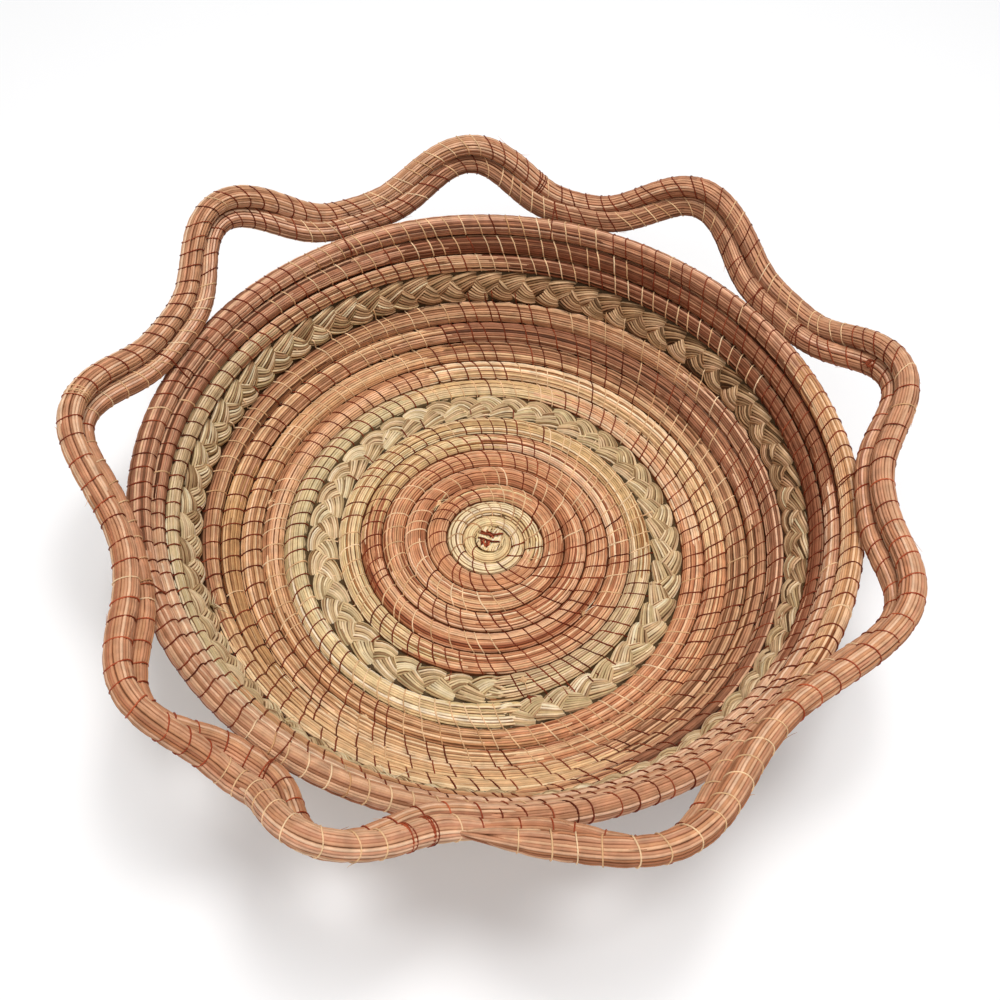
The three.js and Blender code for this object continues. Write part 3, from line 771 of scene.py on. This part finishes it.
def wrapStrand(name, node, outer, seed):
    lay = borderLay
    chance = np.random.default_rng(seed)
    heap = newHeap()
    path = strandPath(outer, lay["step"])
    along = path["along"]
    paleSpans, toneSpans = (lay[("outer" if outer else "inner") + kind] for kind in ("Pale", "Tones"))

    def sideAt(place):  # which side of the basket, as the camera sees it
        bearing = np.interp(place, along, path["degrees"]) % 360
        return "far" if lay["farSpan"][0] < bearing < lay["farSpan"][1] else "near"

    lows = [lay["wrapFrom"]]
    while lows[-1] < along[-1] - lay["wrapEnd"]:
        lows.append(lows[-1] + lay[sideAt(lows[-1]) + "Wrap"] * chance.uniform(*lay["wrapVary"]))
    lows = np.array(lows)
    turns = np.array([lay[sideAt(low) + "Turn"] for low in lows])
    tops = lows - turns * chance.uniform(*lay["turnVary"], len(lows))

    def toneOf(spot):
        bearing = path["degrees"][spot] % 360
        span = [tones for tones in toneSpans if tones[0] <= bearing] or toneSpans
        return span[-1][1 if chance.uniform() < lay["firstTone"] else 2]

    layNeedles(path, lay["bundle"], (lows, tops), chance, toneOf, lambda spot: heap)
    # painted shade: the strand's core is a darkened hazel
    shade = linear(needleTones[lay["coreTone"]][0]) * lay["paintedCoreShade"]
    addCore(heap, strandPath(outer, lay["coreStep"]), lay["coreInset"], shade, lay["coreTrim"])
    makePiece(name, heap, dryNeedles, [node])
    wraps = [(low, top, None) for low, top in zip(lows, tops)]
    for onOuter, bearing, pale, count in lay["bound"]:
        if onOuter == outer:
            low = along[np.argmin(np.abs((path["degrees"] - bearing + 180) % 360 - 180))]
            for place in [low + lay["boundPitch"] * turn for turn in range(count)]:
                wraps.append((place, place - chance.uniform(*lay["boundTurn"]), pale))
    spin, level = loopLevels()
    for low, top, boundPale in wraps:
        here = lerp(low, top, level)
        centre, across, over = (
            np.stack([np.interp(here, along, path[key][:, axis]) for axis in range(3)], -1)
            for key in ("centre", "across", "over")
        )
        size = np.interp(here, along, path["wide"]) * (1 - lay["wrapPull"] * stitchLay["pinch"])
        size = size + stitchLay["threadRadius"] * lay["wrapGrow"]
        points = centre + across * (size * np.cos(spin))[:, None] + over * (size * np.sin(spin))[:, None]
        bearing = np.interp(low, along, path["degrees"]) % 360
        pale = any(span[0] <= bearing <= span[1] for span in paleSpans) != (chance.uniform() < lay["oddWrap"])
        pale = pale if boundPale is None else boundPale
        radius = stitchLay["threadRadius"] * lay["threadScale"] * chance.uniform(*lay["threadVary"])
        shade = threadColour(pale, chance) * (1 if pale else lay[sideAt(low) + "Lift"])
        addThread(stitchHeap("loop", pale), points[::-1], radius, shade)


rimTies = dict(
    step=1.0, gap=8.8, spacing=26.0, spacingVary=(0.9, 1.1), ends=30, points=9, overRim=0.1, overStrand=0.05,
    slant=(0.8, 1.6), paleShare=0.1, threadVary=(0.9, 1.1), seed=23,
)


def tieToRim():  # stitches that hold the inner strand to the rim where the two touch
    lay = rimTies
    chance = np.random.default_rng(lay["seed"])
    path = strandPath(False, lay["step"])
    strand, along = path["centre"], path["along"]
    rimRow = rowAt(borderLay["rimEnd"] + (firstValley - path["degrees"]) / 360 - 1)
    rim, rimThick = rimRow[0], rimRow[-1]
    apart = np.linalg.norm(strand - rim, axis=1)
    ahead = runOf(strand)
    half = np.linspace(0.5, 1.5, lay["points"]) * math.pi
    whole = np.arange(2 * lay["points"]) * tau / (2 * lay["points"])
    last = -math.inf
    for spot in range(lay["ends"], len(apart) - lay["ends"]):
        if apart[spot] > lay["gap"] or along[spot] - last < lay["spacing"] * chance.uniform(*lay["spacingVary"]):
            continue
        last = along[spot]
        toStrand = unit(strand[spot] - rim[spot])
        aside = unit(np.cross(ahead[spot], toStrand))
        bow = np.outer(np.cos(half), toStrand) + np.outer(np.sin(half), aside)
        low = rim[spot] + (rimThick[spot] + lay["overRim"]) * bow
        top = strand[spot] - (path["wide"][spot] + lay["overStrand"]) * bow
        slant = np.outer(chance.uniform(*lay["slant"]) * np.sin(whole), ahead[spot])
        pale = chance.uniform() < lay["paleShare"]
        radius = stitchLay["threadRadius"] * chance.uniform(*lay["threadVary"])
        addThread(stitchHeap("loop", pale), np.concatenate([low, top]) + slant, radius, threadColour(pale, chance))


wrapStrand("innerLoops", "inner_scallop", outer=False, seed=21)
wrapStrand("outerLoops", "outer_scallop", outer=True, seed=22)
tieToRim()
print("border loops wrapped")

knotLay = dict(
    threads=[  # from and to, across the hole, and how high they lie
        ((-4.6, 1.5), (1.2, 0.7), 8.3), ((-3.8, 2.4), (0.6, 0.2), 8.6), ((-0.4, 0.3), (4.4, 2.2), 8.5),
        ((-1.2, 1.8), (2.8, 0.9), 8.8), ((-4.4, -0.9), (3.9, -1.9), 8.2), ((-3.6, -0.6), (-3.0, -3.4), 8.0),
        ((-2.4, -0.8), (-2.0, -4.0), 8.1), ((-1.2, -1.0), (-1.1, -4.1), 8.1), ((-0.2, -1.2), (-0.6, -3.6), 8.0),
        ((-1.5, 2.8), (1.3, -0.5), 8.4),
    ],
    points=9, sides=6, radius=0.38, radiusVary=(0.8, 1.15), sway=0.25, sag=0.5, shades=(0.8, 1.9), seed=5,
    needles=36, needleHeight=7.7, needleDrop=0.4, needleArch=0.6, needleBearing=1.25, bearingVary=0.25,
    needleGirth=(0.24, 0.32), needleReach=5.2, holeRadius=5.6,
    post=dict(foot=0.1, top=6.4, points=5, radius=3.8, sides=14, shade=0.7),
)


def tieKnot():
    lay, post = knotLay, knotLay["post"]
    chance = np.random.default_rng(lay["seed"])
    heap = newHeap()
    count, sides = lay["points"], lay["sides"]
    share = np.linspace(0, 1, count)
    for start, end, height in lay["threads"]:
        flatRun = lerp(np.array(start), np.array(end), share[:, None])
        wave = np.sin(share * tau + chance.uniform(0, tau))[:, None]
        flatRun = flatRun + lay["sway"] * wave * chance.normal(0, 1, 2)
        level = height - lay["sag"] * (2 * np.abs(share - 0.5)) ** 3
        points = np.concatenate([flatRun, level[:, None]], 1)
        radius = np.full(count, lay["radius"] * chance.uniform(*lay["radiusVary"]))
        run = runOf(points)
        sideA = unit(np.cross(upward, run))
        shade = threadColour(False, chance) * chance.uniform(*lay["shades"])
        addTube(heap, points, sideA, np.cross(run, sideA), radius, radius, sides, shade)
    share = np.linspace(-1, 1, count)
    for needle in range(lay["needles"]):  # the folded ends that the first row is wound on
        bearing = lay["needleBearing"] + chance.normal(0, lay["bearingVary"])
        ahead = np.array([math.cos(bearing), math.sin(bearing), 0])
        beside = np.array([-ahead[1], ahead[0], 0])
        aside = lerp(-lay["needleReach"], lay["needleReach"], (needle + 0.5) / lay["needles"])
        height = lay["needleHeight"] + chance.uniform(-lay["needleDrop"], 0)
        level = height - lay["needleArch"] * share ** 2
        reach = math.sqrt(lay["holeRadius"] ** 2 - aside ** 2)
        points = ahead * (share * reach)[:, None] + beside * aside + upward * level[:, None]
        radius = np.full(count, chance.uniform(*lay["needleGirth"]))
        sideA, sideB = (np.broadcast_to(side, points.shape) for side in (beside, np.cross(ahead, beside)))
        addTube(heap, points, sideA, sideB, radius, radius, sides, needleColour("cream", chance))
    points = np.outer(np.linspace(post["foot"], post["top"], post["points"]), upward)
    sideA, sideB = (np.tile(side, (post["points"], 1)) for side in ([1.0, 0, 0], [0, 1.0, 0]))
    radius = np.full(post["points"], post["radius"])
    shade = linear(needleTones["cream"][0]) * post["shade"]
    addTube(heap, points, sideA, sideB, radius, radius, post["sides"], shade)
    makePiece("centreKnot", heap, waxedThread, ["centre_knot"])


tieKnot()
print("centre knot tied")

# small things that make it hand work: thread knots, frayed ends and needle tips that stand off
fibreLay = dict(
    knots=[  # where on a row, how far across it, size, pale thread or not
        (6.983, -0.2, 1.1, True), (7.981, -0.85, 1.0, False), (10.1, -0.9, 1.1, True), (3.374, -0.8, 1.0, True),
        (4.88, 0.9, 0.9, True), (9.29, 0.9, 0.8, True),
    ],
    strandKnot=(20.8, 1.5), tufts=[(3.374, -0.8), (4.88, 0.9), (13.12, 0.6), (13.2, -0.6), (14.06, -0.5)],
    bindings=[12.99, 14.012], bindingSlant=0.0008, tuftTips=9, rowTips=90, tipTurns=[(2, 7), (8, 13), (14, 17)],
    tipAside=0.8, loopTips=150, loopStep=1.0, loopEnds=30, lookAhead=0.001, lowestFace=0.04, faceLean=0.6, seed=31,
)
threadKnot = dict(
    points=10, rings=5, lean=0.6, scatter=0.22, ringSize=(0.5, 0.95), threadScale=1.15, tails=3, tailPoints=7,
    tailLength=(2.5, 4.5), tailRise=0.8, tailArch=2.4, tailFall=0.5, thick=0.26, thin=0.16, sides=6,
)
needleTuft = dict(
    points=6, stand=(0.25, 0.7), lean=0.25, length=(3.5, 7.0), scatter=0.5, root=0.6, bend=0.6, thick=0.22, thin=0.07,
    sides=4,
)
needleTip = dict(
    points=6, length=(3, 8), rise=(0.3, 1.8), curve=1.6, scatter=0.5, root=0.3, thick=(0.1, 0.18), thin=0.04, sides=4,
)


def addFibre(heap, points, thick, thin, sides, colour):  # a thin tapering thread or needle end
    run = runOf(points)
    sideA = unit(np.cross(run, np.eye(3)[np.argmin(np.abs(run).sum(0))]))
    radius = np.linspace(thick, thin, len(points))
    addTube(heap, points, sideA, np.cross(run, sideA), radius, radius, sides, colour)


def addKnot(heap, spot, outward, size, pale, chance):
    lay = threadKnot
    spin = np.arange(lay["points"]) * tau / lay["points"]
    shade = threadColour(pale, chance)
    for ring in range(lay["rings"]):
        axis = unit(outward + chance.normal(0, lay["lean"], 3))
        sideA = unit(np.cross(axis, np.eye(3)[np.argmin(np.abs(axis))]))
        loop = np.outer(np.cos(spin), sideA) + np.outer(np.sin(spin), np.cross(axis, sideA))
        middle = spot + chance.normal(0, size * lay["scatter"], 3)
        points = middle + size * chance.uniform(*lay["ringSize"]) * loop
        addThread(heap, points, stitchLay["threadRadius"] * lay["threadScale"], shade)
    share = np.linspace(0, 1, lay["tailPoints"])[:, None]
    arch = lay["tailRise"] * np.sin(share * lay["tailArch"]) - lay["tailFall"] * share
    for tail in range(lay["tails"]):
        aside = chance.normal(0, 1, 3)
        aside = unit(aside - outward * (aside @ outward))
        points = spot + aside * share * chance.uniform(*lay["tailLength"]) + outward * arch
        addFibre(heap, points, lay["thick"], lay["thin"], lay["sides"], shade)


def addTuft(heap, spot, outward, ahead, count, chance, tone):  # ends of needles that stand off the coil
    lay = needleTuft
    share = np.linspace(0, 1, lay["points"])[:, None]
    for tip in range(count):
        stand = outward * chance.uniform(*lay["stand"]) + ahead * chance.choice([-1, 1])
        lean = unit(stand + chance.normal(0, lay["lean"], 3))
        length = chance.uniform(*lay["length"])
        points = spot + chance.normal(0, lay["scatter"], 3) - outward * lay["root"] + lean * share * length
        points = points + outward * lay["bend"] * share ** 2 * chance.uniform(-1, 1)
        addFibre(heap, points, lay["thick"], lay["thin"], lay["sides"], needleColour(tone, chance))


def addTip(heap, spot, outward, ahead, chance, tone):  # one fine tip or hair along the coil
    lay = needleTip
    share = np.linspace(0, 1, lay["points"])[:, None]
    length, rise = chance.uniform(*lay["length"]), chance.uniform(*lay["rise"])
    points = spot - outward * lay["root"] + ahead * share * length * chance.choice([-1, 1])
    points = points + outward * rise * share ** lay["curve"]
    points = points + chance.normal(0, lay["scatter"], 3) * share ** 2
    addFibre(heap, points, chance.uniform(*lay["thick"]), lay["thin"], lay["sides"], needleColour(tone, chance))


def rowSpot(turn, aside):  # a place on the upper face of a row, with its two directions
    centre, across, over, wide, thick = rowAt(np.array([turn, turn + fibreLay["lookAhead"]]))
    lift = thick * math.sqrt(max(1 - aside ** 2, fibreLay["lowestFace"]))
    outward = unit(across[0] * aside * fibreLay["faceLean"] + over[0])
    return centre[0] + across[0] * wide[0] * aside + over[0] * lift[0], outward, unit(centre[1] - centre[0])


def fray():
    lay = fibreLay
    chance = np.random.default_rng(lay["seed"])
    heap = newHeap()
    for turn, aside, size, pale in lay["knots"]:
        spot, outward = rowSpot(turn, aside)[:2]
        addKnot(stitchHeap(regionOf(turn), pale), spot, outward, size, pale, chance)
    for turn, aside in lay["tufts"]:
        addTuft(heap, *rowSpot(turn, aside), lay["tuftTips"], chance, "cream" if regionOf(turn) == "floor" else "green")
    for turn in lay["bindings"]:
        addRowStitch(stitchHeap("wall", False), turn, turn - lay["bindingSlant"], False, chance)
    for tip in range(lay["rowTips"]):
        turn = chance.choice([chance.uniform(*span) for span in lay["tipTurns"]])
        addTip(heap, *rowSpot(turn, chance.uniform(-lay["tipAside"], lay["tipAside"])), chance, toneAt(turn))
    for outer in (False, True):
        path = strandPath(outer, lay["loopStep"])
        ahead = runOf(path["centre"])
        for tip in range(lay["loopTips"] // 2):
            place = chance.integers(lay["loopEnds"], len(ahead) - lay["loopEnds"])
            spin = chance.uniform(0, tau)
            outward = path["across"][place] * math.cos(spin) + path["over"][place] * math.sin(spin)
            spot = path["centre"][place] + outward * path["wide"][place]
            addTip(heap, spot, outward, ahead[place], chance, "russet")
        if not outer:
            bearing, size = lay["strandKnot"]
            place = int(np.argmin(np.abs(path["degrees"] % 360 - bearing)))
            outward = unit(upward - path["across"][place] * lay["faceLean"])
            spot = path["centre"][place] + outward * path["wide"][place]
            addKnot(stitchHeap("loop", False), spot, outward, size, False, chance)
    makePiece("strayFibres", heap, dryNeedles)


fray()
for stitchName, stitchHeapReady in stitchHeaps.items():
    makePiece(stitchName, stitchHeapReady, waxedThread)
print("stitches sewn:", sum(heap["tubes"] for heap in stitchHeaps.values()))

# floor, light and camera
stageLay = dict(
    floorSize=6.0, floorDrop=0.0003, floorColour=(0.95, 0.95, 0.955), floorRough=0.8,
    white=(1, 1, 1, 1), whiteShare=0.1, worldLevel=0.36,
)
floorMesh = bpy.data.meshes.new("studioFloor")
half = stageLay["floorSize"] / 2
floorMesh.from_pydata([(-half, -half, 0), (half, -half, 0), (half, half, 0), (-half, half, 0)], [], [(0, 1, 2, 3)])
studioFloor = bpy.data.objects.new("studioFloor", floorMesh)
studioFloor.location.z = -stageLay["floorDrop"]
bpy.context.scene.collection.objects.link(studioFloor)
floorFinish = bpy.data.materials.new("paleFloor")
floorFinish.use_nodes = True
floorTree = floorFinish.node_tree
floorShader = floorTree.nodes["Principled BSDF"]
setSockets(floorShader, {"Base Color": (*stageLay["floorColour"], 1), "Roughness": stageLay["floorRough"]})
seen = addNode(floorTree, "ShaderNodeLightPath")
glow = addNode(floorTree, "ShaderNodeEmission")
setSockets(glow, {"Color": stageLay["white"], "Strength": 1.0})
eyes = addNode(floorTree, "ShaderNodeMath", operation="MAXIMUM")
eyesToo = addNode(floorTree, "ShaderNodeMath", operation="MAXIMUM")
share = addNode(floorTree, "ShaderNodeMath", operation="MULTIPLY")
share.inputs[1].default_value = stageLay["whiteShare"]
blend = addNode(floorTree, "ShaderNodeMixShader")
for source, socket in (
    (seen.outputs["Is Camera Ray"], eyes.inputs[0]), (seen.outputs["Is Glossy Ray"], eyes.inputs[1]),
    (eyes.outputs[0], eyesToo.inputs[0]), (seen.outputs["Is Transmission Ray"], eyesToo.inputs[1]),
    (eyesToo.outputs[0], share.inputs[0]), (share.outputs[0], blend.inputs[0]),
    (floorShader.outputs[0], blend.inputs[1]), (glow.outputs[0], blend.inputs[2]),
    (blend.outputs[0], floorTree.nodes["Material Output"].inputs["Surface"]),
):
    floorTree.links.new(source, socket)
floorMesh.materials.append(floorFinish)

studio = bpy.data.worlds.new("studio")
studio.use_nodes = True
worldLight = studio.node_tree.nodes["Background"]
setSockets(worldLight, {"Color": stageLay["white"], "Strength": stageLay["worldLevel"]})
bpy.context.scene.world = studio

lampAim = Vector((0, 0, 0.03))
lampLay = [
    dict(name="bigSoftbox", place=(0.09, 0.15, 1.35), size=0.6, power=13.0),
    dict(name="sideFill", place=(-0.25, -0.75, 0.95), size=0.8, power=3.0),
]
for lamp in lampLay:
    light = bpy.data.lights.new(lamp["name"], "AREA")
    light.shape = "DISK"
    light.size = lamp["size"]
    light.energy = lamp["power"]
    lampObject = bpy.data.objects.new(lamp["name"], light)
    lampObject.location = lamp["place"]
    lampObject.rotation_euler = (lampAim - Vector(lamp["place"])).to_track_quat("-Z", "Y").to_euler()
    bpy.context.scene.collection.objects.link(lampObject)

cameraLay = dict(
    target=(2.41, 7.35, 23.5), distance=407.7, elevation=56.14, roll=5.25, lens=38.66, sensor=36.0, nearest=0.01,
)
lift, roll = math.radians(cameraLay["elevation"]), math.radians(cameraLay["roll"])
back = Vector((0, -math.cos(lift), math.sin(lift)))
level, steep = Vector((1, 0, 0)), Vector((0, math.sin(lift), math.cos(lift)))
right = level * math.cos(roll) + steep * math.sin(roll)
top = steep * math.cos(roll) - level * math.sin(roll)
eye = (Vector(cameraLay["target"]) + back * cameraLay["distance"]) * mm
shot = bpy.data.cameras.new("shot")
shot.sensor_width = cameraLay["sensor"]
shot.lens = cameraLay["lens"]
shot.clip_start = cameraLay["nearest"]
shotObject = bpy.data.objects.new("shot", shot)
shotObject.matrix_world = Matrix((right, top, back)).transposed().to_4x4()
shotObject.location = eye
bpy.context.scene.collection.objects.link(shotObject)
bpy.context.scene.camera = shotObject
bpy.context.scene.view_settings.view_transform = "Standard"

print("stage set")
